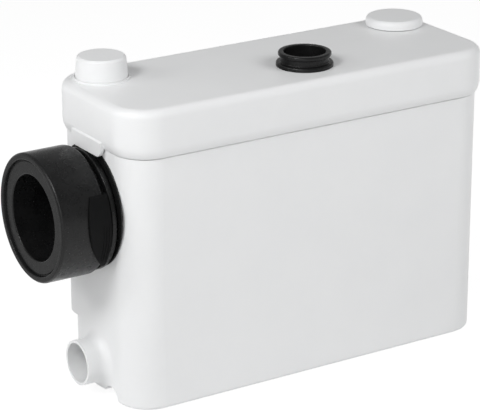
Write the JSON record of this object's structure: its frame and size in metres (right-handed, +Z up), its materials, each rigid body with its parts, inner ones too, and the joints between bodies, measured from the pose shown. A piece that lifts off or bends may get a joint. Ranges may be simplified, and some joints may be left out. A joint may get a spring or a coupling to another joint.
{
  "type": "macerator toilet pump",
  "caption": "Slim free-standing macerator toilet pump: white tank and lid, black rubber soil inlet sleeve, side inlet, top outlet, with grinder, motor, check valve and level switch inside.",
  "frame": {"origin": "centre of the tank's length and upper depth, on its underside", "axes": "+Z up; -X towards the soil inlet; -Y towards the front, +Y towards the wall behind"},
  "size_m": [0.4675, 0.1532, 0.317],
  "materials": {
    "white_shell": "smooth moulded white plastic with a soft sheen",
    "black_rubber": "black moulded rubber",
    "black_plastic": "black moulded plastic",
    "grey_plastic": "grey moulded plastic",
    "inner_white": "natural white moulded plastic",
    "dark_plastic": "dark grey moulded plastic",
    "stainless_steel": "turned and pressed stainless steel",
    "cast_aluminium": "plain cast and drawn aluminium",
    "laminated_iron": "stacked iron sheet",
    "copper_wire": "lacquered copper wire",
    "filter_foam": "charcoal foam",
    "lead_sheath": "pale cable sheath"
  },
  "bodies": {
    "housing": {"tank": "white_shell", "soil_sleeve": "black_rubber", "cord_grommet": "black_rubber", "pump_feet": "black_rubber", "shaft_seal": "black_rubber", "diaphragm": "black_rubber", "lid_gasket": "black_rubber", "sleeve_clip": "black_plastic", "switch_housing": "black_plastic", "micro_switch": "black_plastic", "switch_cover": "black_plastic", "volute": "grey_plastic", "volute_cover": "grey_plastic", "motor_plate": "grey_plastic", "pressure_chamber": "grey_plastic", "terminal_box": "grey_plastic", "terminal_cover": "grey_plastic", "basket": "dark_plastic", "riser_pipe": "dark_plastic", "valve_body": "dark_plastic", "outlet_pipe": "dark_plastic", "motor_cap": "dark_plastic", "pump_screws": "stainless_steel", "motor_screws": "stainless_steel", "side_flap_pin": "stainless_steel", "check_flap_pin": "stainless_steel", "lever_pin": "stainless_steel", "lower_bearing": "stainless_steel", "upper_bearing": "stainless_steel", "motor_shield": "cast_aluminium", "motor_can": "cast_aluminium", "capacitor": "cast_aluminium", "stator_core": "laminated_iron", "winding_heads": "copper_wire", "motor_lead": "lead_sheath"},
    "lid": {"lid": "white_shell", "outlet_grommet": "black_rubber", "vent_filter": "filter_foam", "service_cap_seal": "black_rubber"},
    "vent_cap": {"vent_cap": "white_shell"},
    "service_cap": {"service_cap": "white_shell"},
    "rotor": {"drive_shaft": "stainless_steel", "impeller": "black_plastic", "cutter_blade": "stainless_steel", "blade_collars": "stainless_steel", "rotor_core": "laminated_iron"},
    "check_flap": {"check_flap": "black_rubber"},
    "side_flap": {"side_flap": "black_rubber"},
    "switch_plunger": {"switch_plunger": "inner_white"},
    "switch_lever": {"switch_lever": "stainless_steel"}
  },
  "joints": [
    {"name": "rotor_spin", "type": "hinge", "parent": "housing", "child": "rotor", "pos_m": [-0.0773, -0.002, 0.02], "axis": [0, 0, 1], "continuous": true},
    {"name": "lid_lift", "type": "slide", "parent": "housing", "child": "lid", "axis": [0, 0, 1], "range_m": [0, 0.15]},
    {"name": "vent_cap_pull", "type": "slide", "parent": "lid", "child": "vent_cap", "axis": [0, 0, 1], "range_m": [0, 0.04]},
    {"name": "service_cap_pull", "type": "slide", "parent": "lid", "child": "service_cap", "axis": [0, 0, 1], "range_m": [0, 0.03]},
    {"name": "check_flap_hinge", "type": "hinge", "parent": "housing", "child": "check_flap", "pos_m": [0.015, -0.014, 0.1607], "axis": [-1, 0, 0], "range_deg": [0, 75]},
    {"name": "side_flap_hinge", "type": "hinge", "parent": "housing", "child": "side_flap", "pos_m": [-0.195, 0, 0.0587], "axis": [0, -1, 0], "range_deg": [0, 60]},
    {"name": "plunger_slide", "type": "slide", "parent": "housing", "child": "switch_plunger", "axis": [0, 0, 1], "range_m": [0, 0.002], "stiffness_N_per_m": 200},
    {"name": "lever_hinge", "type": "hinge", "parent": "housing", "child": "switch_lever", "pos_m": [0.16763, 0.0187, 0.23557], "axis": [1, 0, 0], "range_deg": [0, 8.8]}
  ],
  "couplings": [
    {"joint": "lever_hinge", "follows": "plunger_slide", "rad_per_m": 75.9}
  ]
}
